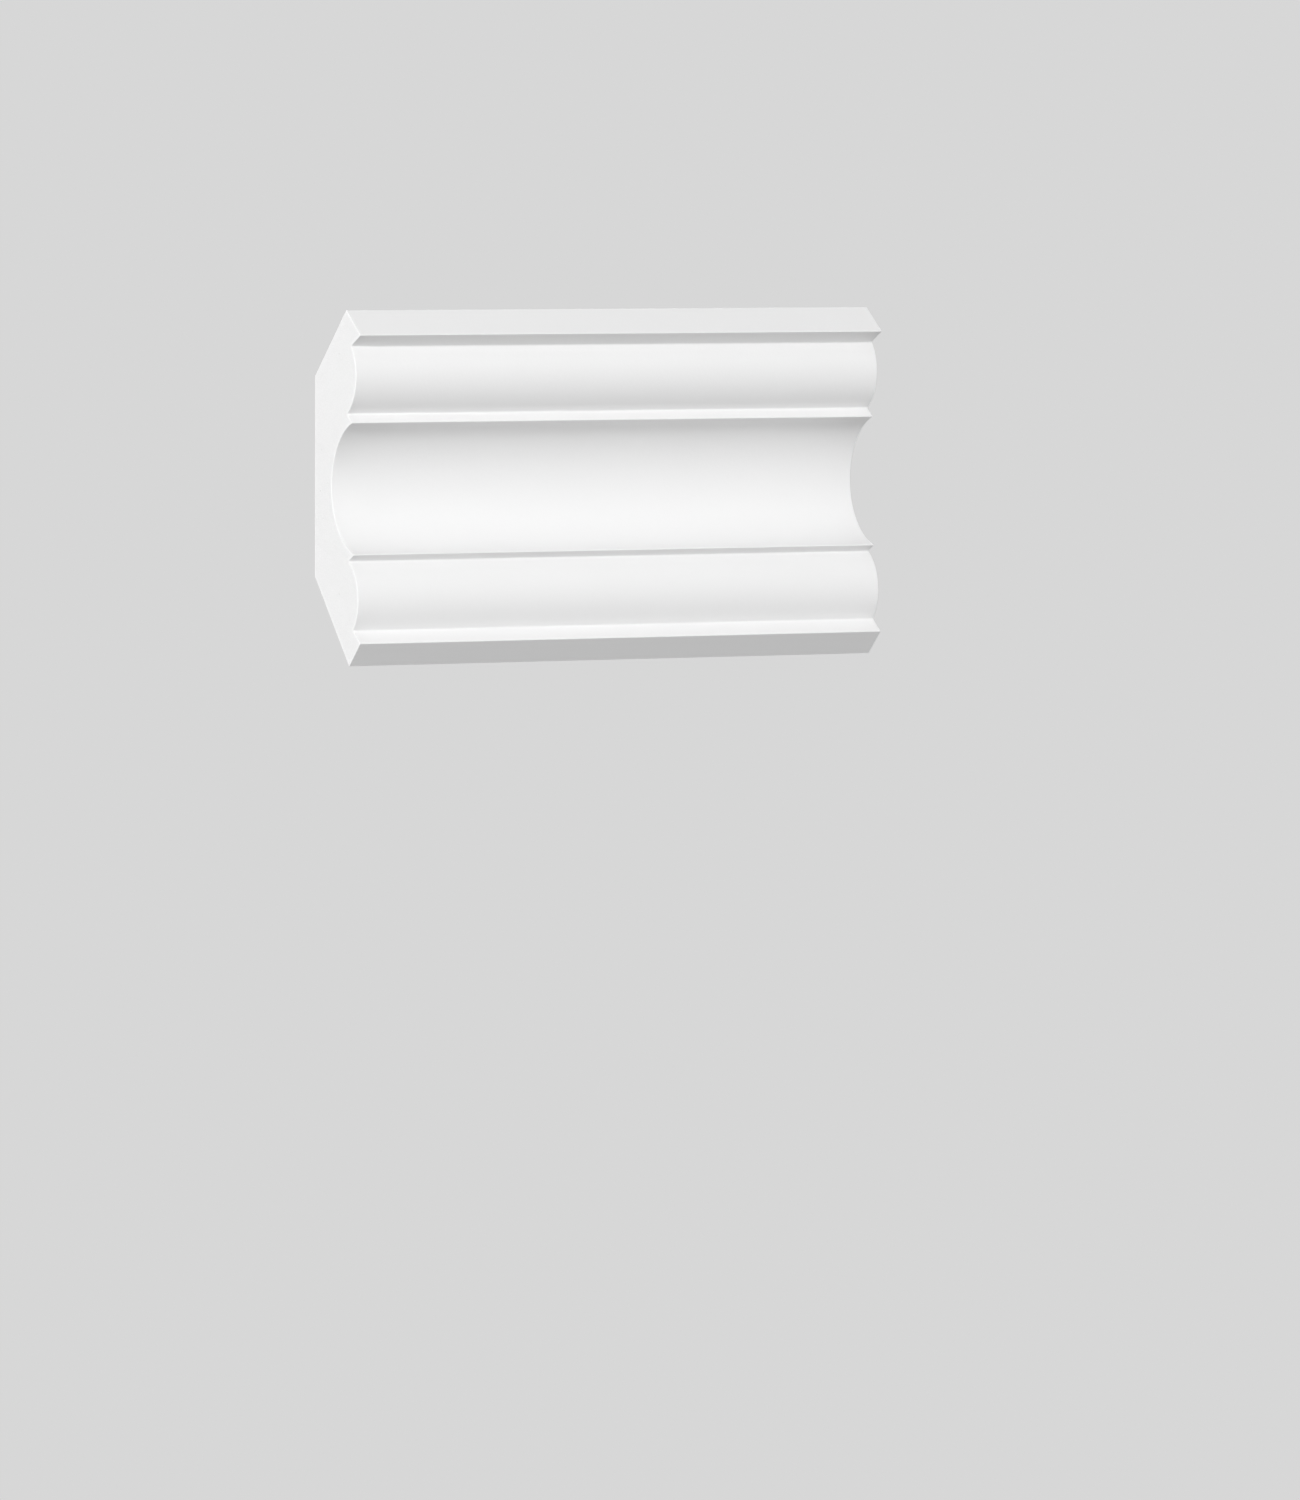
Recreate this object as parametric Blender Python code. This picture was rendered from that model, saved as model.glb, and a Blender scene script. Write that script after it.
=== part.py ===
"""A length of cove crown moulding in rigid foam, cut square at both ends.

The moulding is modelled as it is fixed in a room. The wall is the plane y = 0, with the wall on the +Y side,
the ceiling is a level plane above, and the length runs along X. The origin is the middle of the face that lies
on the wall.

The section is worked out as two coordinates in a plane: reach, out from the wall, and drop, down from the
ceiling. It is a closed outline of straight faces and circular arcs, which is then drawn out along the length.
"""

from math import ceil, pi, radians, tan

import bmesh
import bpy
from mathutils import Matrix, Vector

# Length of the piece and overall sizes of its section, in metres
LENGTH = 0.200
CEILING_REACH = 0.080
WALL_DROP = 0.090

# The two faces that lie on the ceiling and on the wall, with a flat back bevel between them
CEILING_FACE_WIDTH = 0.0335
WALL_FACE_HEIGHT = 0.040

# Slopes that let the moulding leave its mould: upright faces lean out, soffits rise to the wall
FACE_LEAN = radians(11)
SOFFIT_RISE = radians(16)

# Nose at the ceiling, and the ovolo under it
NOSE_HEIGHT = 0.0138
NOSE_SOFFIT_DEPTH = 0.0080
UPPER_OVOLO_REACH = 0.0179
UPPER_OVOLO_DROP = 0.0147

# Fillet between the upper ovolo and the cove, whose size is what the other members leave
MIDDLE_FILLET_HEIGHT = 0.0050
COVE_SWEEP = radians(150)

# Lip under the cove, the ovolo below it, and the fillet at the foot
LIP_SOFFIT_DEPTH = 0.0049
LOWER_OVOLO_REACH = 0.0132
LOWER_OVOLO_DROP = 0.0197
FOOT_FILLET_HEIGHT = 0.0068
FOOT_DEPTH = 0.0120

# Both ovolos turn through this angle
OVOLO_SWEEP = radians(101)

# Edges are eased as paint leaves them: projecting arrises a little, inner corners a little more
ARRIS_RADIUS = 0.0003
QUIRK_RADIUS = 0.0005

# How finely arcs are divided, and the smallest turn that counts as a corner
LONG_ARC_STEP = radians(4)
EASING_STEP = radians(24)
CORNER_TURN = radians(20)

# Paint: white, satin
PAINT_COLOUR = (0.86, 0.86, 0.85, 1.0)
PAINT_ROUGHNESS = 0.45

NAME = "crown_moulding"


def clear_scene():
    """Remove every object that the file holds."""
    for obj in list(bpy.data.objects):
        bpy.data.objects.remove(obj, do_unlink=True)


def satin_paint():
    """The white paint that covers the moulding."""
    material = bpy.data.materials.new("white_paint")
    material.use_nodes = True
    shader = material.node_tree.nodes["Principled BSDF"]
    shader.inputs["Base Color"].default_value = PAINT_COLOUR
    shader.inputs["Roughness"].default_value = PAINT_ROUGHNESS
    shader.inputs["Metallic"].default_value = 0.0
    material.diffuse_color = PAINT_COLOUR
    return material


def arc(start, end, sweep, step):
    """Points from start to end on the circle that turns by sweep on the way, anticlockwise if positive."""
    chord = end - start
    centre = (start + end) / 2 + chord.orthogonal() / (2 * tan(sweep / 2))
    spoke = start - centre
    count = ceil(abs(sweep) / step)
    return [centre + Matrix.Rotation(sweep * i / count, 2) @ spoke for i in range(count + 1)]


def leaning_face(height):
    """Way down an upright face that leans out as it falls."""
    return Vector((height * tan(FACE_LEAN), height))


def soffit(depth):
    """Way in under a projecting edge, rising towards the wall."""
    return Vector((-depth, -depth * tan(SOFFIT_RISE)))


def section_corners():
    """The outline as (reach, drop) points, from the ceiling's outer edge down the face and back up the rear."""
    ceiling_edge = Vector((CEILING_REACH, 0))
    nose_arris = ceiling_edge + leaning_face(NOSE_HEIGHT)
    nose_quirk = nose_arris + soffit(NOSE_SOFFIT_DEPTH)
    fillet_quirk = nose_quirk + Vector((-UPPER_OVOLO_REACH, UPPER_OVOLO_DROP))
    cove_arris = fillet_quirk + leaning_face(MIDDLE_FILLET_HEIGHT)

    foot_arris = Vector((FOOT_DEPTH, WALL_DROP))
    foot_quirk = foot_arris - leaning_face(FOOT_FILLET_HEIGHT)
    lip_quirk = foot_quirk + Vector((LOWER_OVOLO_REACH, -LOWER_OVOLO_DROP))
    lip_arris = lip_quirk - soffit(LIP_SOFFIT_DEPTH)

    wall_edge = Vector((0, WALL_DROP))
    wall_bevel = Vector((0, WALL_DROP - WALL_FACE_HEIGHT))
    ceiling_bevel = Vector((CEILING_REACH - CEILING_FACE_WIDTH, 0))

    return (
        [ceiling_edge, nose_arris]
        + arc(nose_quirk, fillet_quirk, OVOLO_SWEEP, LONG_ARC_STEP)
        + arc(cove_arris, lip_arris, -COVE_SWEEP, LONG_ARC_STEP)
        + arc(lip_quirk, foot_quirk, OVOLO_SWEEP, LONG_ARC_STEP)
        + [foot_arris, wall_edge, wall_bevel, ceiling_bevel]
    )


def eased(corners):
    """The outline with each corner replaced by a small arc that is tangent to the faces on both sides of it.

    An arris turns the outline anticlockwise, as the whole of it turns, and a quirk turns it back.
    """
    points = []
    for before, corner, after in zip(corners[-1:] + corners[:-1], corners, corners[1:] + corners[:1]):
        way_in = corner - before
        way_out = after - corner
        turn = way_out.angle_signed(way_in)
        if abs(turn) < CORNER_TURN:
            points.append(corner)
            continue
        radius = ARRIS_RADIUS if turn > 0 else QUIRK_RADIUS
        room = 0.45 * min(way_in.length, way_out.length)
        setback = min(radius * tan(abs(turn) / 2), room)
        start = corner - way_in.normalized() * setback
        end = corner + way_out.normalized() * setback
        points += arc(start, end, turn, EASING_STEP)
    return points


def outline_curve(points):
    """A flat closed curve of the outline, extruded by half the length to each side."""
    curve = bpy.data.curves.new(NAME, "CURVE")
    curve.dimensions = "2D"
    curve.fill_mode = "BOTH"
    curve.extrude = LENGTH / 2
    spline = curve.splines.new("POLY")
    spline.points.add(len(points) - 1)
    for knot, (reach, drop) in zip(spline.points, points):
        knot.co = (reach, -drop, 0, 1)
    spline.use_cyclic_u = True
    return bpy.data.objects.new(NAME + "_outline", curve)


def place_in_room():
    """The placement that stands the outline's plane across X, the middle of the wall face at the origin."""
    wall_face_centre_drop = WALL_DROP - WALL_FACE_HEIGHT / 2
    upright = Matrix.Rotation(pi / 2, 4, "X")
    across = Matrix.Rotation(-pi / 2, 4, "Z")
    return Matrix.Translation((0, 0, wall_face_centre_drop)) @ across @ upright


def solid_from(outline, collection):
    """One closed mesh from the curve, with its caps welded on and its arcs shaded smooth."""
    collection.objects.link(outline)
    outline.matrix_world = place_in_room()
    graph = bpy.context.evaluated_depsgraph_get()
    mesh = bpy.data.meshes.new_from_object(outline.evaluated_get(graph))
    mesh.name = NAME
    mesh.transform(outline.matrix_world)
    bpy.data.objects.remove(outline, do_unlink=True)

    cage = bmesh.new()
    cage.from_mesh(mesh)
    bmesh.ops.remove_doubles(cage, verts=cage.verts, dist=1e-6)
    bmesh.ops.recalc_face_normals(cage, faces=cage.faces)
    cage.to_mesh(mesh)
    cage.free()

    mesh.shade_smooth()
    mesh.set_sharp_from_angle(angle=radians(30))
    solid = bpy.data.objects.new(NAME, mesh)
    collection.objects.link(solid)
    return solid


def main():
    """Build the moulding."""
    clear_scene()
    collection = bpy.data.collections.new("Crown moulding length")
    bpy.context.scene.collection.children.link(collection)
    moulding = solid_from(outline_curve(eased(section_corners())), collection)
    moulding.data.materials.clear()
    moulding.data.materials.append(satin_paint())


main()
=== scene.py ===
"""Looks of a length of cove crown moulding: primed face, bare cut ends and plain rear, in a pale studio.

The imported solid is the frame. One finer piece takes the solid's place and keeps its section: every arris is
eased and every quirk is filled as paint does it, the cut edges are taken off by a light rub, and the cut ends
carry the saw's marks. The wall is the plane y = 0, the ceiling is level above, and the length runs along X.
All sizes are in metres.
"""

import logging
from collections.abc import Mapping
from dataclasses import dataclass, field
from enum import Enum
from math import cos, pi, radians, sin, tan
from typing import Union

import bpy
import numpy as np
from mathutils import Matrix, Vector
from mathutils.geometry import delaunay_2d_cdt


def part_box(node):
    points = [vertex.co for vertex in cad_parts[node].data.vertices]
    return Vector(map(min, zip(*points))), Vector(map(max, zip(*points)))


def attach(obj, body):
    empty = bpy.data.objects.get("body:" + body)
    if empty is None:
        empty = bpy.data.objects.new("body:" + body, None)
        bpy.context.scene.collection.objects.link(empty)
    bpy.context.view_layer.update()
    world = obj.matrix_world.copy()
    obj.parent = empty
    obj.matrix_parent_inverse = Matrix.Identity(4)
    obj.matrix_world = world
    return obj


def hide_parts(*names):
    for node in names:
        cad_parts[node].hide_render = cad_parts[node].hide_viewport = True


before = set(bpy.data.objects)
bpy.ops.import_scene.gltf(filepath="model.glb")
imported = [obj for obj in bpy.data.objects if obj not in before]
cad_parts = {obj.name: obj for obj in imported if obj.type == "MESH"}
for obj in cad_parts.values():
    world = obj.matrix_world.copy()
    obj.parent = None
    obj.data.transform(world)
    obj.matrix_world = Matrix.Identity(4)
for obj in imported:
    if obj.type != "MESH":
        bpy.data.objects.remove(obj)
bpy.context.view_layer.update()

MM = 0.001
NODE = "crown_moulding"
INSIDE_RING = 1
MERGE_DISTANCE = 1e-7

Array = np.ndarray
Triple = tuple[float, float, float]

log = logging.getLogger("crown_moulding")


class Face(Enum):
    """Faces that the outline of the section runs through."""

    MOULDED = "moulded"
    WALL = "wall"
    BEVEL = "bevel"
    CEILING = "ceiling"


@dataclass(frozen=True)
class Run:
    """One stretch of the outline between two corners, straight or an arc.

    Points are complex numbers, reach out from the wall plus i times drop from the ceiling. The stretch turns
    evenly by sweep on its way, so its heading after a distance d is the first heading turned by sweep times d
    over length.
    """

    start: complex
    end: complex
    face: Face
    sweep: float = 0.0

    @property
    def length(self) -> float:
        """Length along the stretch: the chord over the sinc of half the sweep."""
        return abs(self.end - self.start) / np.sinc(self.sweep / (2 * pi))

    def heading(self, distance: float) -> complex:
        """Direction of travel, as a unit complex number.

        Args:
            distance: How far along the stretch, in metres.

        Returns:
            The chord's direction turned back by half the sweep and on by the share of it covered.
        """
        chord = self.end - self.start
        turned = self.sweep * (distance / self.length - 0.5)
        return chord / abs(chord) * complex(cos(turned), sin(turned))

    def at(self, distance: Array) -> Array:
        """Points along the stretch.

        Args:
            distance: Distances from the start, in metres.

        Returns:
            Complex points: the first heading integrated over the distance as it turns evenly, which is the
            distance times the mean heading times the sinc of half the angle turned.
        """
        half_turn = self.sweep * distance / self.length / 2
        return self.start + self.heading(0.0) * distance * np.exp(1j * half_turn) * np.sinc(half_turn / pi)


@dataclass(frozen=True)
class Outline:
    """The closed outline as arrays, one entry a point, going anticlockwise in reach and drop.

    Attributes:
        points: Complex points.
        normals: Outward unit normals, complex.
        paint: 1 where the primer was sprayed, falling to 0 on the faces that are glued.
        arris: 1 on projecting edges, 0 away from them.
        quirk: 1 in inner corners, 0 away from them.
    """

    points: Array
    normals: Array
    paint: Array
    arris: Array
    quirk: Array


@dataclass(frozen=True)
class Section:
    """Sizes of the cross-section, in metres and radians: the solid's own, then how finely it is drawn.

    Attributes:
        spacing: Distance between points on a stretch.
        holds: Distances of the two points that hold the shading next to an easing, as shares of an
            arris's radius.
        easing_steps: Divisions of an eased corner.
        overspray: How far the primer reaches past the moulded face.
        edge_reach: How far a corner's mask reaches from it.
    """

    ceiling_reach: float = 80 * MM
    wall_drop: float = 90 * MM
    ceiling_face: float = 33.5 * MM
    wall_face: float = 40 * MM
    lean: float = radians(11)
    rise: float = radians(16)
    nose_height: float = 13.8 * MM
    nose_soffit: float = 8.0 * MM
    upper_ovolo: complex = complex(-17.9, 14.7) * MM
    fillet_height: float = 5.0 * MM
    cove_sweep: float = radians(150)
    lip_soffit: float = 4.9 * MM
    lower_ovolo: complex = complex(-13.2, 19.7) * MM
    foot_height: float = 6.8 * MM
    foot_depth: float = 12.0 * MM
    ovolo_sweep: float = radians(101)
    arris_radius: float = 0.3 * MM
    quirk_radius: float = 0.5 * MM
    spacing: float = 0.5 * MM
    holds: tuple[float, float] = (0.12, 0.36)
    easing_steps: int = 8
    overspray: float = 3.5 * MM
    edge_reach: float = 0.8 * MM

    def leaning_face(self, height: float) -> complex:
        """Way down an upright face that leans out as it falls."""
        return complex(height * tan(self.lean), height)

    def soffit(self, depth: float) -> complex:
        """Way in under a projecting edge, rising to the wall."""
        return complex(-depth, -depth * tan(self.rise))

    def runs(self) -> list[Run]:
        """Stretches of the outline, from the ceiling's outer edge down the face and back up the rear.

        Returns:
            The stretches in order. The cove takes what the other members leave between them.
        """
        ceiling_edge = complex(self.ceiling_reach, 0)
        nose_arris = ceiling_edge + self.leaning_face(self.nose_height)
        nose_quirk = nose_arris + self.soffit(self.nose_soffit)
        fillet_quirk = nose_quirk + self.upper_ovolo
        cove_arris = fillet_quirk + self.leaning_face(self.fillet_height)
        foot_arris = complex(self.foot_depth, self.wall_drop)
        foot_quirk = foot_arris - self.leaning_face(self.foot_height)
        lip_quirk = foot_quirk - self.lower_ovolo
        lip_arris = lip_quirk - self.soffit(self.lip_soffit)
        wall_edge = complex(0, self.wall_drop)
        wall_bevel = complex(0, self.wall_drop - self.wall_face)
        ceiling_bevel = complex(self.ceiling_reach - self.ceiling_face, 0)
        return [
            Run(ceiling_edge, nose_arris, Face.MOULDED),
            Run(nose_arris, nose_quirk, Face.MOULDED),
            Run(nose_quirk, fillet_quirk, Face.MOULDED, self.ovolo_sweep),
            Run(fillet_quirk, cove_arris, Face.MOULDED),
            Run(cove_arris, lip_arris, Face.MOULDED, -self.cove_sweep),
            Run(lip_arris, lip_quirk, Face.MOULDED),
            Run(lip_quirk, foot_quirk, Face.MOULDED, self.ovolo_sweep),
            Run(foot_quirk, foot_arris, Face.MOULDED),
            Run(foot_arris, wall_edge, Face.MOULDED),
            Run(wall_edge, wall_bevel, Face.WALL),
            Run(wall_bevel, ceiling_bevel, Face.BEVEL),
            Run(ceiling_bevel, ceiling_edge, Face.CEILING),
        ]

    def stretch_distances(self, first: float, last: float) -> Array:
        """Distances to sample on a stretch: two near each end that hold the shading, and even ones between.

        Args:
            first: Where the stretch leaves the easing before it.
            last: Where it meets the easing after it.

        Returns:
            Rising distances, both ends left out, because the easings hold those points.
        """
        hold = np.array(self.holds) * self.arris_radius
        inner_first, inner_last = first + hold[-1], last - hold[-1]
        count = max(2, round((inner_last - inner_first) / self.spacing))
        even = np.linspace(inner_first, inner_last, count + 1)
        return np.concatenate([[first + hold[0]], even, [last - hold[0]]])

    def outline(self) -> Outline:
        """The section's outline, finely divided, with each corner eased.

        Every corner gives up a setback of radius times the tangent of half its turn on both sides, and an arc
        with the same turn fills it. How far a point lies from the nearest corner gives its edge masks.

        Returns:
            The outline's points, normals and masks.
        """
        runs = self.runs()
        before = runs[-1:] + runs[:-1]
        turns = np.angle([run.heading(0.0) / last.heading(last.length) for last, run in zip(before, runs)])
        radii = np.where(turns > 0, self.arris_radius, self.quirk_radius)
        setbacks = radii * np.tan(np.abs(turns) / 2)

        pieces: list[Array] = []
        sprayed: list[Array] = []
        corners: list[complex] = []
        for index, run in enumerate(runs):
            last = before[index]
            way_in = last.at(np.array(last.length - setbacks[index]))
            way_out = run.at(np.array(setbacks[index]))
            easing = Run(complex(way_in), complex(way_out), run.face, float(turns[index]))
            bend = easing.at(np.linspace(0, easing.length, self.easing_steps + 1))
            next_setback = setbacks[(index + 1) % len(runs)]
            body = run.at(self.stretch_distances(setbacks[index], run.length - next_setback))
            corners.append(complex(bend[self.easing_steps // 2]))
            pieces += [bend, body]
            is_face = run.face is Face.MOULDED
            touches_face = is_face or last.face is Face.MOULDED
            sprayed += [np.full(len(bend), touches_face), np.full(len(body), is_face)]

        points = np.concatenate(pieces)
        chords = np.roll(points, -1) - np.roll(points, 1)
        painted = points[np.concatenate(sprayed)]
        return Outline(
            points=points,
            normals=-1j * chords / np.abs(chords),
            paint=self.faded(self.nearest(points, painted), self.overspray),
            arris=self.faded(self.nearest(points, np.array(corners)[turns > 0]), self.edge_reach),
            quirk=self.faded(self.nearest(points, np.array(corners)[turns < 0]), self.edge_reach),
        )

    @staticmethod
    def nearest(points: Array, others: Array) -> Array:
        """Distance from each point to the nearest of the others."""
        return np.abs(points[:, None] - others[None, :]).min(axis=1)

    @staticmethod
    def faded(distance: Array, reach: float) -> Array:
        """1 at no distance, falling along a smooth step to 0 at the given reach."""
        share = np.clip(1 - distance / reach, 0, 1)
        return share * share * (3 - 2 * share)


@dataclass(frozen=True)
class Unevenness:
    """Slow waves in a cast face, as a few long sine waves that cross the length at slight angles.

    Attributes:
        clearance: What even the highest places keep inside the true section.
        depth: How far the hollows go in below that.
        lengths: Wave lengths along the moulding.
        slant: The most that a wave moves along the length for each step round the section.
        seed: Seed of the phases and slants.
    """

    clearance: float = 0.004 * MM
    depth: float = 0.02 * MM
    lengths: tuple[float, ...] = (0.19, 0.083, 0.047)
    slant: float = 0.6
    seed: int = 7

    def hollow(self, along: Array, round_section: Array) -> Array:
        """How far each point sinks.

        Args:
            along: Places along the moulding.
            round_section: Places round the outline, in metres from its first point.

        Returns:
            Depths from the clearance on: the waves' mean, moved and halved to run from 0 to 1, times depth.
        """
        draw = np.random.default_rng(self.seed)
        phases = draw.uniform(0, 2 * pi, len(self.lengths))
        slants = draw.uniform(-self.slant, self.slant, len(self.lengths))
        waves = [
            np.sin(2 * pi * (along + slant * round_section) / length + phase)
            for length, phase, slant in zip(self.lengths, phases, slants)
        ]
        return self.clearance + self.depth * (1 + np.mean(waves, axis=0)) / 2


@dataclass(frozen=True)
class SawCut:
    """A square cut by a circular saw: shallow ridges on arcs of the blade, inside a clean rim.

    Attributes:
        lattice: Spacing of the points that carry the ridges.
        clear: How far those points keep from the rim, as a share of their spacing.
        blade_radius: Radius of the blade that swept the face.
        swept: A point that the blade's rim passed, in reach and drop.
        bearing: Direction from that point to the blade's centre, in radians.
        pitch: Distance from ridge to ridge.
        wander: Distances over which the ridges stray, in reach and drop.
        depth: Depth of the hollows between ridges.
        seed: Seed of the straying.
    """

    lattice: float = 0.8 * MM
    clear: float = 0.45
    blade_radius: float = 127 * MM
    swept: complex = complex(30, 45) * MM
    bearing: float = 0.6
    pitch: float = 2.3 * MM
    wander: complex = complex(9, 13) * MM
    depth: float = 0.03 * MM
    seed: int = 11

    def inner_points(self, ring: Array) -> Array:
        """Points of a triangular lattice that lie inside the ring and clear of it.

        Args:
            ring: The closed ring, complex.

        Returns:
            Complex points. A point is inside if a level line from it crosses the ring an odd number of times.
        """
        row = self.lattice * sin(pi / 3)
        reach = np.arange(ring.real.min(), ring.real.max(), self.lattice)
        drop = np.arange(ring.imag.min(), ring.imag.max(), row)
        shift = (np.arange(len(drop)) % 2) * self.lattice / 2
        points = (reach[None, :] + shift[:, None] + 1j * drop[:, None]).ravel()
        after = np.roll(ring, -1)
        level = points.imag[:, None]
        spans = (ring.imag[None, :] > level) != (after.imag[None, :] > level)
        slope = (after.real - ring.real) / np.where(after.imag == ring.imag, 1, after.imag - ring.imag)
        crossing = ring.real[None, :] + slope[None, :] * (level - ring.imag[None, :])
        inside = (spans & (crossing > points.real[:, None])).sum(axis=1) % 2 == 1
        in_the_clear = Section.nearest(points, ring) > self.clear * self.lattice
        return points[inside & in_the_clear]

    def marks(self, points: Array) -> Array:
        """Depth of the saw's marks at each point.

        Args:
            points: Complex points of the cut.

        Returns:
            Depths from 0 to the full depth: a wave over the distance to the blade's centre, whose phase
            strays slowly from place to place.
        """
        draw = np.random.default_rng(self.seed)
        phase = draw.uniform(0, 2 * pi, 2)
        centre = self.swept + self.blade_radius * complex(cos(self.bearing), sin(self.bearing))
        radius = np.abs(points - centre)
        down = np.sin(points.imag / self.wander.imag + phase[0])
        across = np.sin(points.real / self.wander.real + phase[1])
        return self.depth * (1 + np.sin(2 * pi * radius / self.pitch + down + across)) / 2


@dataclass
class Moulding:
    """The whole length: its section drawn along X, with eased cut edges and sawn ends.

    Attributes:
        section: Sizes of the cross-section.
        unevenness: Slow waves in the faces.
        saw: Marks of the cut ends.
        cut_radius: Radius that rubs off the edges of the cuts.
        cut_steps: Divisions of that radius.
        holding_rim: Width of the flat rim that holds the cut's shading.
        hold: Place of the station that holds the face's shading next to the cut, as a share of that radius.
        station: Spacing of the points along the length.
    """

    section: Section = field(default_factory=Section)
    unevenness: Unevenness = field(default_factory=Unevenness)
    saw: SawCut = field(default_factory=SawCut)
    cut_radius: float = 0.2 * MM
    cut_steps: int = 5
    holding_rim: float = 0.07 * MM
    hold: float = 0.4
    station: float = 2.5 * MM

    def stations(self) -> tuple[Array, Array]:
        """Places along the length and how far the outline is drawn in at each.

        Returns:
            Two arrays: X, and the inset. Each end starts on a flat rim, follows a quarter turn of the cut's
            radius out to the full section, and then the stations are even.
        """
        low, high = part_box(NODE)[0][0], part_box(NODE)[1][0]
        bend = np.linspace(0, pi / 2, self.cut_steps + 1)
        end_x = np.concatenate([[0], self.cut_radius * (1 - np.cos(bend))])
        rim_inset = self.cut_radius + self.holding_rim
        end_inset = np.concatenate([[rim_inset], self.cut_radius * (1 - np.sin(bend))])
        first, last = low + self.cut_radius, high - self.cut_radius
        even = np.linspace(first, last, round((last - first) / self.station) + 1)[1:-1]
        hold = self.hold * self.cut_radius
        middle = np.concatenate([[first + hold], even, [last - hold]])
        x = np.concatenate([low + end_x, middle, (high - end_x)[::-1]])
        inset = np.concatenate([end_inset, np.zeros(len(middle)), end_inset[::-1]])
        return x, inset

    def in_room(self, x: Array, points: Array) -> Array:
        """Room coordinates of section points.

        Args:
            x: Places along the length.
            points: Complex points, reach plus i times drop.

        Returns:
            Rows of X, Y and Z: Y is minus the reach, and Z is the ceiling's height less the drop.
        """
        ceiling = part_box(NODE)[1][2]
        x, reach, drop = np.broadcast_arrays(x, points.real, points.imag)
        return np.stack([x, -reach, ceiling - drop], axis=-1).reshape(-1, 3)

    def body(self, outline: Outline) -> tuple[Array, Array]:
        """The faces along the length, as a grid of stations by outline points.

        Args:
            outline: The section's outline.

        Returns:
            Vertices, and quads that join each point to the next round the outline and along the length.
        """
        x, inset = self.stations()
        step = np.abs(np.diff(outline.points, prepend=outline.points[-1:]))
        round_section = np.cumsum(step)
        sunk = self.unevenness.hollow(x[:, None], round_section[None, :]) * (inset[:, None] == 0)
        points = outline.points[None, :] - outline.normals[None, :] * (inset[:, None] + sunk)
        vertices = self.in_room(x[:, None], points)
        stations, around = len(x), len(outline.points)
        here = np.arange(around)
        after = np.roll(here, -1)
        near = (np.arange(stations - 1) * around)[:, None]
        quads = np.stack([near + here, near + after, near + around + after, near + around + here], axis=-1)
        return vertices, quads.reshape(-1, 4)

    def cut(self, ring: Array, x: float, inwards: float) -> tuple[Array, Array]:
        """One sawn end: triangles over the ring and the lattice inside it.

        Args:
            ring: The rim's complex points.
            x: Where the cut is.
            inwards: Which way the saw's marks go in, as a sign along X.

        Returns:
            The inner vertices, and triangles numbered with the ring first and the inner points after it.
        """
        inner = self.saw.inner_points(ring)
        points = np.concatenate([ring, inner])
        flat = (np.stack([points.real, points.imag], axis=1) / MM).tolist()
        rim = np.arange(len(ring))
        edges = np.stack([rim, np.roll(rim, -1)], axis=1).tolist()
        corners = [Vector(point) for point in flat]
        _, _, triangles, *_ = delaunay_2d_cdt(corners, edges, [], INSIDE_RING, MERGE_DISTANCE)
        vertices = self.in_room(x + inwards * self.saw.marks(inner), inner)
        return vertices, np.array(triangles)

    def build(self) -> bpy.types.Object:
        """Make the moulding's mesh, closed all round, with its masks stored on the points.

        Returns:
            The new object.
        """
        outline = self.section.outline()
        vertices, quads = self.body(outline)
        x, inset = self.stations()
        around = len(outline.points)
        ring = outline.points - outline.normals * inset[0]
        left_inner, left = self.cut(ring, x[0], 1.0)
        right_inner, right = self.cut(ring, x[-1], -1.0)
        count = len(vertices)
        left = self.renumbered(left, around, 0, count)
        right = self.renumbered(right, around, count - around, count + len(left_inner))
        ends = np.concatenate([left[:, ::-1], right])
        mesh = mesh_from(NODE + "_face", np.concatenate([vertices, left_inner, right_inner]), quads, ends)
        plain = np.zeros(len(left_inner) + len(right_inner))
        for name, values in (("paint", outline.paint), ("arris", outline.arris), ("quirk", outline.quirk)):
            store(mesh, name, np.concatenate([np.tile(values, len(x)), plain]))
        inner = np.concatenate([left_inner, right_inner])
        store(mesh, "depth_from_rim", np.concatenate([np.zeros(count), self.rim_distance(inner, ring)]))
        piece = bpy.data.objects.new(NODE + "_face", mesh)
        bpy.context.scene.collection.objects.link(piece)
        return piece

    @staticmethod
    def renumbered(triangles: Array, around: int, ring_start: int, inner_start: int) -> Array:
        """Triangles of a cut with its ring and inner points given their places in the whole mesh."""
        return np.where(triangles < around, triangles + ring_start, triangles - around + inner_start)

    @staticmethod
    def rim_distance(vertices: Array, ring: Array) -> Array:
        """Distance of a cut's inner vertices from its rim."""
        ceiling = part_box(NODE)[1][2]
        return Section.nearest(-vertices[:, 1] + 1j * (ceiling - vertices[:, 2]), ring)


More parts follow.
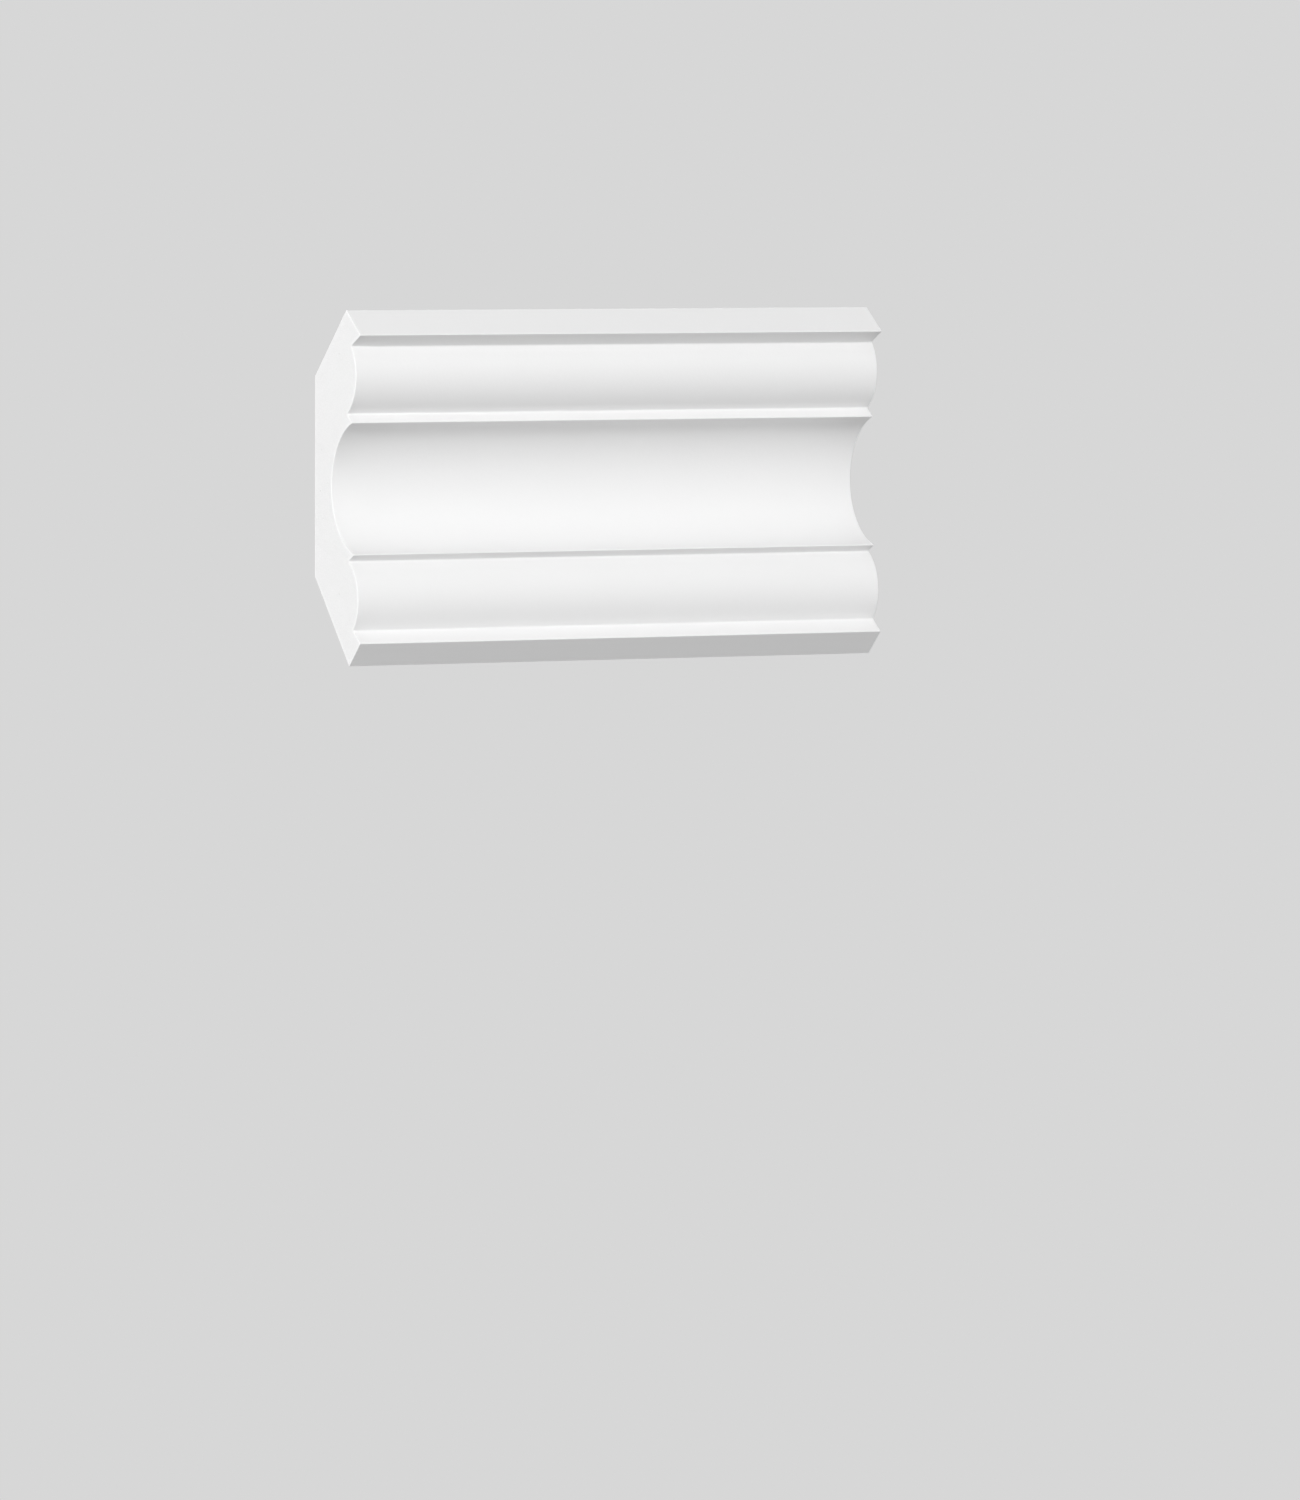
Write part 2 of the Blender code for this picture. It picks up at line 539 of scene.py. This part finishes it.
def mesh_from(name: str, vertices: Array, quads: Array, triangles: Array) -> bpy.types.Mesh:
    """A mesh from whole arrays, shaded smooth, with its triangles given the second material.

    Args:
        name: The mesh's name.
        vertices: Rows of coordinates.
        quads: Rows of four vertex numbers.
        triangles: Rows of three vertex numbers.

    Returns:
        The mesh.
    """
    mesh = bpy.data.meshes.new(name)
    mesh.vertices.add(len(vertices))
    mesh.vertices.foreach_set("co", vertices.astype(np.float32).ravel())
    corners = np.concatenate([quads.ravel(), triangles.ravel()]).astype(np.int32)
    sizes = np.concatenate([np.full(len(quads), 4), np.full(len(triangles), 3)])
    mesh.loops.add(len(corners))
    mesh.loops.foreach_set("vertex_index", corners)
    mesh.polygons.add(len(sizes))
    mesh.polygons.foreach_set("loop_start", (np.cumsum(sizes) - sizes).astype(np.int32))
    mesh.polygons.foreach_set("material_index", (sizes == 3).astype(np.int32))
    mesh.update(calc_edges=True)
    mesh.validate(verbose=False)
    mesh.shade_smooth()
    return mesh


def store(mesh: bpy.types.Mesh, name: str, values: Array) -> None:
    """Keep one number a vertex on the mesh under a name that a material can read."""
    attribute = mesh.attributes.new(name, "FLOAT", "POINT")
    attribute.data.foreach_set("value", values.astype(np.float32))


Operand = Union["Wire", float]
Colour = Union["Wire", tuple[float, ...]]


class Wire:
    """An output socket, with arithmetic that adds Math nodes to its tree."""

    def __init__(self, tree: "Tree", socket: bpy.types.NodeSocket) -> None:
        """Keep the tree and the socket.

        Args:
            tree: The tree that new nodes go into.
            socket: The output that this stands for.
        """
        self.tree = tree
        self.socket = socket

    def maths(self, operation: str, first: Operand, second: Operand) -> "Wire":
        """The result of a Math node.

        Args:
            operation: The node's operation.
            first: Its first value.
            second: Its second value.

        Returns:
            The node's output.
        """
        return self.tree.add("ShaderNodeMath", {"operation": operation}, {0: first, 1: second})

    def __add__(self, other: Operand) -> "Wire":
        """self + other."""
        return self.maths("ADD", self, other)

    def __radd__(self, other: Operand) -> "Wire":
        """other + self."""
        return self.maths("ADD", other, self)

    def __sub__(self, other: Operand) -> "Wire":
        """self - other."""
        return self.maths("SUBTRACT", self, other)

    def __rsub__(self, other: Operand) -> "Wire":
        """other - self."""
        return self.maths("SUBTRACT", other, self)

    def __mul__(self, other: Operand) -> "Wire":
        """self * other."""
        return self.maths("MULTIPLY", self, other)

    def __rmul__(self, other: Operand) -> "Wire":
        """other * self."""
        return self.maths("MULTIPLY", other, self)


class Tree:
    """The node tree of a material or a world, with one method that adds nodes."""

    def __init__(self, tree: bpy.types.NodeTree) -> None:
        """Keep the tree.

        Args:
            tree: The node tree to build in.
        """
        self.tree = tree

    def add(
        self,
        kind: str,
        settings: Mapping[str, object] | None = None,
        inputs: Mapping[int | str, object] | None = None,
        output: int | str = 0,
    ) -> Wire:
        """Add a node: its settings first, then the values and links of its sockets.

        Args:
            kind: The node's type.
            settings: Properties of the node.
            inputs: Values or wires by socket name or number.
            output: The output wanted.

        Returns:
            That output.
        """
        node = self.tree.nodes.new(kind)
        for name, value in (settings or {}).items():
            setattr(node, name, value)
        for name, value in (inputs or {}).items():
            if isinstance(value, Wire):
                self.tree.links.new(value.socket, node.inputs[name])
            else:
                node.inputs[name].default_value = value
        return Wire(self, node.outputs[output])

    def attribute(self, name: str) -> Wire:
        """A number stored on the mesh."""
        return self.add("ShaderNodeAttribute", {"attribute_name": name}, output="Fac")

    def stretched(self, scale: Triple) -> Wire:
        """Object coordinates, scaled along each axis."""
        place = self.add("ShaderNodeTexCoord", output="Object")
        return self.add("ShaderNodeMapping", {}, {"Vector": place, "Scale": scale})

    def noise(self, grain: float, detail: float = 3.0, stretch: Triple = (1.0, 1.0, 1.0)) -> Wire:
        """Noise with features of a given size.

        Args:
            grain: Size of the features, in metres.
            detail: How many finer layers lie on them.
            stretch: Scale along each axis, below 1 where the features are drawn out.

        Returns:
            The noise, around 0.5.
        """
        place = self.stretched(stretch)
        return self.add("ShaderNodeTexNoise", {}, {"Vector": place, "Scale": 1 / grain, "Detail": detail})

    def grey(self, value: Wire) -> Wire:
        """A grey colour from a number."""
        return self.add("ShaderNodeCombineColor", {}, {"Red": value, "Green": value, "Blue": value})

    def blend(self, factor: Wire, low: Colour, high: Colour) -> Wire:
        """A colour between two colours.

        The sockets of a Mix node that hold colours are its inputs 6 and 7 and its output 2.

        Args:
            factor: 0 for the first colour, 1 for the second.
            low: The first colour or wire.
            high: The second colour or wire.

        Returns:
            The mixed colour.
        """
        return self.add("ShaderNodeMix", {"data_type": "RGBA"}, {0: factor, 6: low, 7: high}, output=2)

    def between(self, value: Wire, low: float, high: float, smooth: bool = True) -> Wire:
        """How far a value has gone from one bound to another.

        Args:
            value: The value.
            low: The bound that gives 0.
            high: The bound that gives 1, on either side of low.
            smooth: Whether it goes as a smooth step, not evenly.

        Returns:
            The share, kept from 0 to 1.
        """
        kind = "SMOOTHSTEP" if smooth else "LINEAR"
        settings = {"interpolation_type": kind}
        inputs = {"Value": value, "From Min": low, "From Max": high}
        return self.add("ShaderNodeMapRange", settings, inputs)

    def spots(self, spacing: float, radius: float, whole: float = 0.6) -> Wire:
        """Round spots scattered through space, cut by the surface at all depths, so that they differ in size.

        Args:
            spacing: Mean distance between their centres.
            radius: Radius of the largest.
            whole: Share of the radius within which a spot is at its full strength.

        Returns:
            1 in the middle of a spot and 0 from its radius out.
        """
        cells = {"Vector": self.stretched((1, 1, 1)), "Scale": 1 / spacing}
        distance = self.add("ShaderNodeTexVoronoi", {}, cells)
        return self.between(distance, radius / spacing, whole * radius / spacing)

    def bump(self, height: Wire, depth: float, under: Wire | None = None) -> Wire:
        """A bumped normal.

        Args:
            height: Height as a share of the depth.
            depth: Full depth, in metres.
            under: A normal that the bump lies on.

        Returns:
            The normal.
        """
        inputs: dict[int | str, object] = {"Height": height, "Distance": depth, "Strength": 1.0}
        if under is not None:
            inputs["Normal"] = under
        return self.add("ShaderNodeBump", {}, inputs)


@dataclass(frozen=True)
class PrimedFoam:
    """Satin white primer sprayed over cast foam, thinning out onto the glued faces, which are bare skin.

    Attributes:
        white: Grey of the primer.
        cloud: Size and strength of the slow changes in that grey.
        edge_highlight: Painted highlight: how much lighter the primer is drawn on an arris, for the light
            that its edge catches.
        quirk_painted_shade: Painted shade: how much darker the primer is drawn in a quirk.
        skin: Darkest and lightest colour of the bare foam skin.
        mottle: Size and strength of the patches in the skin.
        line_tone: How far a planing line lightens the skin.
        hole_painted_shade: Painted shade: how far a pinhole darkens the skin, for the shade in its hollow.
        skin_edge_highlight: Painted highlight: how far the bare skin is drawn lighter on an arris, so that
            its edge shows.
        base_tone: What is added to these before they choose the colour.
        rough: Roughness of the primer.
        satin: Size and strength of the slow changes in that roughness.
        edge_shine: How much smoother the primer is on an arris.
        quirk_shine: How much smoother it is in a quirk, where it lies thick.
        rear_rough: Roughness of the bare skin.
        ragged: Size and strength of the ragged border of the spray.
        border: Shares of primer between which it goes from bare to covered.
        peel: Size and depth of the spray's orange peel.
        planing: Size and depth of the planing lines on the rear.
        planing_stretch: Scale of those lines along each axis, which draws them out along the length.
        ripple: Size and depth of the slow ripples on the rear.
        pinhole: Spacing and radius of the pinholes on the rear.
        hole_depth: Depth of a pinhole, as a multiple of a planing line's.
        ior: Index of refraction.
        specular: Strength of the mirror reflection.
    """

    white: float = 0.90
    cloud: tuple[float, float] = (35 * MM, 0.012)
    edge_highlight: float = 0.012
    quirk_painted_shade: float = 0.006
    skin: tuple[Triple, Triple] = ((0.78, 0.774, 0.752), (0.88, 0.876, 0.860))
    mottle: tuple[float, float] = (9 * MM, 0.8)
    line_tone: float = 0.5
    hole_painted_shade: float = 0.5
    skin_edge_highlight: float = 0.3
    base_tone: float = -0.15
    rough: float = 0.52
    satin: tuple[float, float] = (12 * MM, 0.08)
    edge_shine: float = 0.05
    quirk_shine: float = 0.06
    rear_rough: float = 0.72
    ragged: tuple[float, float] = (2.2 * MM, 0.5)
    border: tuple[float, float] = (0.25, 0.75)
    peel: tuple[float, float] = (1.1 * MM, 0.022 * MM)
    planing: tuple[float, float] = (0.45 * MM, 0.035 * MM)
    planing_stretch: Triple = (0.02, 1.0, 1.0)
    ripple: tuple[float, float] = (13 * MM, 0.12 * MM)
    pinhole: tuple[float, float] = (6.5 * MM, 0.35 * MM)
    hole_depth: float = 3.0
    ior: float = 1.46
    specular: float = 0.35

    def material(self) -> bpy.types.Material:
        """Build the material.

        Returns:
            The material, with the primer's own share of the surface read from the mesh.
        """
        material, tree, shader = new_material("primed_foam")
        arris, quirk = tree.attribute("arris"), tree.attribute("quirk")
        grain, strength = self.ragged
        drift = tree.noise(grain, detail=4.0) - 0.5
        paint = tree.between(tree.attribute("paint") + drift * strength, *self.border)
        bare = 1 - paint

        grain, strength = self.cloud
        cloud = tree.noise(grain, detail=2.0) - 0.5
        # Painted highlight: the primer is drawn lighter on arrises.
        # Painted shade: the primer is drawn darker in quirks.
        primer = cloud * strength + arris * self.edge_highlight - quirk * self.quirk_painted_shade + self.white
        lines = tree.noise(self.planing[0], detail=3.0, stretch=self.planing_stretch)
        pinholes = tree.spots(*self.pinhole)
        grain, strength = self.mottle
        patches = tree.noise(grain, detail=4.0) * strength
        # Painted shade: pinholes are drawn darker, for the shade inside them.
        marks = patches + lines * self.line_tone - pinholes * self.hole_painted_shade
        # Painted highlight: the bare skin is drawn lighter on its arrises.
        tone = marks + arris * self.skin_edge_highlight + self.base_tone
        dark, light = self.skin
        skin = tree.blend(tree.between(tone, 0.0, 1.0, smooth=False), (*dark, 1), (*light, 1))
        colour = tree.blend(paint, skin, tree.grey(primer))

        grain, strength = self.satin
        change = (tree.noise(grain, detail=3.0) - 0.5) * strength
        satin = change - arris * self.edge_shine - quirk * self.quirk_shine + self.rough
        rough = paint * satin + bare * self.rear_rough

        peel = tree.bump(tree.noise(self.peel[0], detail=2.0) * paint, self.peel[1])
        ripple = tree.bump(tree.noise(self.ripple[0], detail=2.0) * bare, self.ripple[1], peel)
        planing = tree.bump((lines - pinholes * self.hole_depth) * bare, self.planing[1], ripple)
        connect(shader, {"Base Color": colour, "Roughness": rough, "Normal": planing})
        shader.inputs["IOR"].default_value = self.ior
        shader.inputs["Specular IOR Level"].default_value = self.specular
        return material


@dataclass(frozen=True)
class SawnFoam:
    """Bare rigid foam at a cut: fine closed cells and a few voids, inside a dense rim of moulded skin.

    Attributes:
        white: Grey of the foam.
        cloud: Size and strength of the slow changes in that grey.
        rim: Width of the dense rim.
        rim_start: Share of that width where the first cells show.
        rim_skin_and_highlight: How much lighter the rim is drawn: partly the denser moulded skin, partly a
            painted highlight along the cut's edges.
        cell: Size and depth of the fine cells.
        cell_radius: Radius of a cell, as a share of its size.
        cell_painted_shade: Painted shade: how much darker a cell is drawn, for the shade in its hollow.
        void: Spacing and radius of the voids.
        void_painted_shade: Painted shade: how much darker a void is drawn, for the shade in its hollow.
        void_depth: Depth of a void, as a multiple of a cell's.
        rough: Roughness of the cut.
        cell_rough: How much rougher a cell is.
        ior: Index of refraction.
        specular: Strength of the mirror reflection.
    """

    white: float = 0.895
    cloud: tuple[float, float] = (14 * MM, 0.016)
    rim: float = 1.3 * MM
    rim_start: float = 0.2
    rim_skin_and_highlight: float = 0.006
    cell: tuple[float, float] = (0.34 * MM, 0.03 * MM)
    cell_radius: float = 0.6
    cell_painted_shade: float = 0.03
    void: tuple[float, float] = (4.6 * MM, 0.4 * MM)
    void_painted_shade: float = 0.06
    void_depth: float = 4.0
    rough: float = 0.78
    cell_rough: float = 0.1
    ior: float = 1.46
    specular: float = 0.15

    def material(self) -> bpy.types.Material:
        """Build the material.

        Returns:
            The material. The cells fade out towards the rim, whose place is read from the mesh.
        """
        material, tree, shader = new_material("sawn_foam")
        core = tree.between(tree.attribute("depth_from_rim"), self.rim_start * self.rim, self.rim)
        size, depth = self.cell
        cells = tree.spots(size, self.cell_radius * size) * core
        voids = tree.spots(*self.void) * core
        grain, strength = self.cloud
        cloud = tree.noise(grain, detail=3.0) - 0.5
        # Painted shade: cells and voids are drawn darker, for the shade in their hollows.
        foam = cloud * strength - cells * self.cell_painted_shade - voids * self.void_painted_shade
        # The rim is drawn lighter, partly for its denser skin and partly as a painted highlight along the
        # cut's edges.
        grey = foam + (1 - core) * self.rim_skin_and_highlight + self.white
        rough = cells * self.cell_rough + self.rough
        normal = tree.bump(cells * -1.0 - voids * self.void_depth, depth)
        connect(shader, {"Base Color": tree.grey(grey), "Roughness": rough, "Normal": normal})
        shader.inputs["IOR"].default_value = self.ior
        shader.inputs["Specular IOR Level"].default_value = self.specular
        return material


def new_material(name: str) -> tuple[bpy.types.Material, Tree, bpy.types.Node]:
    """Make a material.

    Args:
        name: Its name.

    Returns:
        The material, its tree and its Principled shader.
    """
    material = bpy.data.materials.new(name)
    material.use_nodes = True
    return material, Tree(material.node_tree), material.node_tree.nodes["Principled BSDF"]


def connect(shader: bpy.types.Node, wires: Mapping[str, Wire]) -> None:
    """Link wires to a shader's sockets by name."""
    for name, wire in wires.items():
        wire.tree.tree.links.new(wire.socket, shader.inputs[name])


@dataclass(frozen=True)
class Viewpoint:
    """The camera, in the room below the moulding and to its left, looking up at the moulded face.

    Attributes:
        place: Where it stands.
        azimuth: Direction it stands in, from straight out of the wall round to the right, in degrees.
        elevation: Height above level, in degrees.
        roll: How far it is turned about its own axis, which lays the length nearly level in the picture.
        lens: Focal length, in millimetres.
        sensor: The long side of the sensor, in millimetres.
    """

    place: Triple = (-1.4555, -2.2116, -1.8266)
    azimuth: float = -33.36
    elevation: float = -33.71
    roll: float = -21.83
    lens: float = 224.34
    sensor: float = 36.0

    def set_up(self) -> bpy.types.Object:
        """Make the camera and give it to the scene.

        Returns:
            The camera.
        """
        a, e, r = radians(self.azimuth), radians(self.elevation), radians(self.roll)
        back = Vector((sin(a) * cos(e), -cos(a) * cos(e), sin(e)))
        level = Vector((0, 0, 1)).cross(back).normalized()
        rise = back.cross(level)
        right = level * cos(r) + rise * sin(r)
        up = back.cross(right)
        data = bpy.data.cameras.new("camera")
        data.sensor_width = self.sensor
        data.lens = self.lens
        camera = bpy.data.objects.new("camera", data)
        turned = Matrix((right, up, back)).transposed().to_4x4()
        camera.matrix_world = Matrix.Translation(self.place) @ turned
        bpy.context.scene.collection.objects.link(camera)
        bpy.context.scene.camera = camera
        return camera


@dataclass(frozen=True)
class SoftBox:
    """A square studio light that faces the moulding.

    Attributes:
        name: Its name.
        direction: The way to it from the moulding.
        distance: How far away it stands.
        side: Length of its side.
        power: Its power, in watts.
    """

    name: str
    direction: Triple
    distance: float
    side: float
    power: float

    def set_up(self) -> bpy.types.Object:
        """Make the light, hidden from the camera itself.

        Returns:
            The light.
        """
        data = bpy.data.lights.new(self.name, "AREA")
        data.shape = "SQUARE"
        data.size = self.side
        data.energy = self.power
        light = bpy.data.objects.new(self.name, data)
        towards = Vector(self.direction).normalized()
        light.location = towards * self.distance
        light.rotation_mode = "QUATERNION"
        light.rotation_quaternion = towards.to_track_quat("Z", "Y")
        light.visible_camera = False
        bpy.context.scene.collection.objects.link(light)
        return light


@dataclass(frozen=True)
class Studio:
    """The plain pale surroundings: soft boxes, even light from all round and a floor a storey below.

    Attributes:
        boxes: The soft boxes.
        ambient: Strength of the light from all round.
        backdrop: Grey of what the camera sees behind the moulding.
        floor_drop: How far the floor lies under the ceiling.
        floor_side: Length of the floor's side.
        floor_grey: Grey of the floor.
        floor_grain: Size and strength of the changes in that grey.
        floor_rough: Roughness of the floor.
    """

    boxes: tuple[SoftBox, ...] = (
        SoftBox("key", (-0.743, -0.651, -0.160), 8.0, 0.7, 458.0),
        SoftBox("upper_fill", (-0.35, -0.88, 0.31), 8.0, 2.0, 30.0),
        SoftBox("overhead", (0.35, 0.55, 0.75), 1.2, 0.8, 5.5),
    )
    ambient: float = 0.385
    backdrop: float = 0.68
    floor_drop: float = 2.5
    floor_side: float = 20.0
    floor_grey: float = 0.78
    floor_grain: tuple[float, float] = (40 * MM, 0.02)
    floor_rough: float = 0.8

    def set_up(self) -> None:
        """Make the lights, the world and the floor."""
        for box in self.boxes:
            box.set_up()
        self.make_world()
        self.make_floor()

    def make_world(self) -> None:
        """Even light, with a paler backdrop for the camera's own rays."""
        world = bpy.data.worlds.new("studio")
        world.use_nodes = True
        bpy.context.scene.world = world
        tree = Tree(world.node_tree)
        seen = tree.add("ShaderNodeLightPath", output="Is Camera Ray")
        strength = seen * (self.backdrop - self.ambient) + self.ambient
        background = world.node_tree.nodes["Background"]
        background.inputs["Color"].default_value = (1, 1, 1, 1)
        connect(background, {"Strength": strength})

    def make_floor(self) -> None:
        """A plain pale floor, a storey below the ceiling."""
        half = self.floor_side / 2
        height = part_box(NODE)[1][2] - self.floor_drop
        corners = [(-half, -half, height), (half, -half, height), (half, half, height), (-half, half, height)]
        mesh = bpy.data.meshes.new("floor")
        mesh.from_pydata(corners, [], [(0, 1, 2, 3)])
        floor = bpy.data.objects.new("floor", mesh)
        material, tree, shader = new_material("pale_floor")
        size, strength = self.floor_grain
        grain = tree.noise(size, detail=4.0) - 0.5
        connect(shader, {"Base Color": tree.grey(grain * strength + self.floor_grey)})
        shader.inputs["Roughness"].default_value = self.floor_rough
        mesh.materials.append(material)
        bpy.context.scene.collection.objects.link(floor)


def make_moulding() -> bpy.types.Object:
    """Build and dress the moulding, and put it in the solid's place.

    Returns:
        The piece.
    """
    piece = Moulding().build()
    piece.data.materials.append(PrimedFoam().material())
    piece.data.materials.append(SawnFoam().material())
    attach(piece, "root")
    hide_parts(NODE)
    log.info("%s: %d vertices, %d faces", piece.name, len(piece.data.vertices), len(piece.data.polygons))
    return piece


def main() -> None:
    """Build everything in order."""
    logging.basicConfig(level=logging.INFO, format="%(message)s")
    bpy.context.scene.view_settings.view_transform = "Standard"
    Viewpoint().set_up()
    log.info("camera set")
    Studio().set_up()
    log.info("studio set")
    make_moulding()


if __name__ == "__main__":
    main()
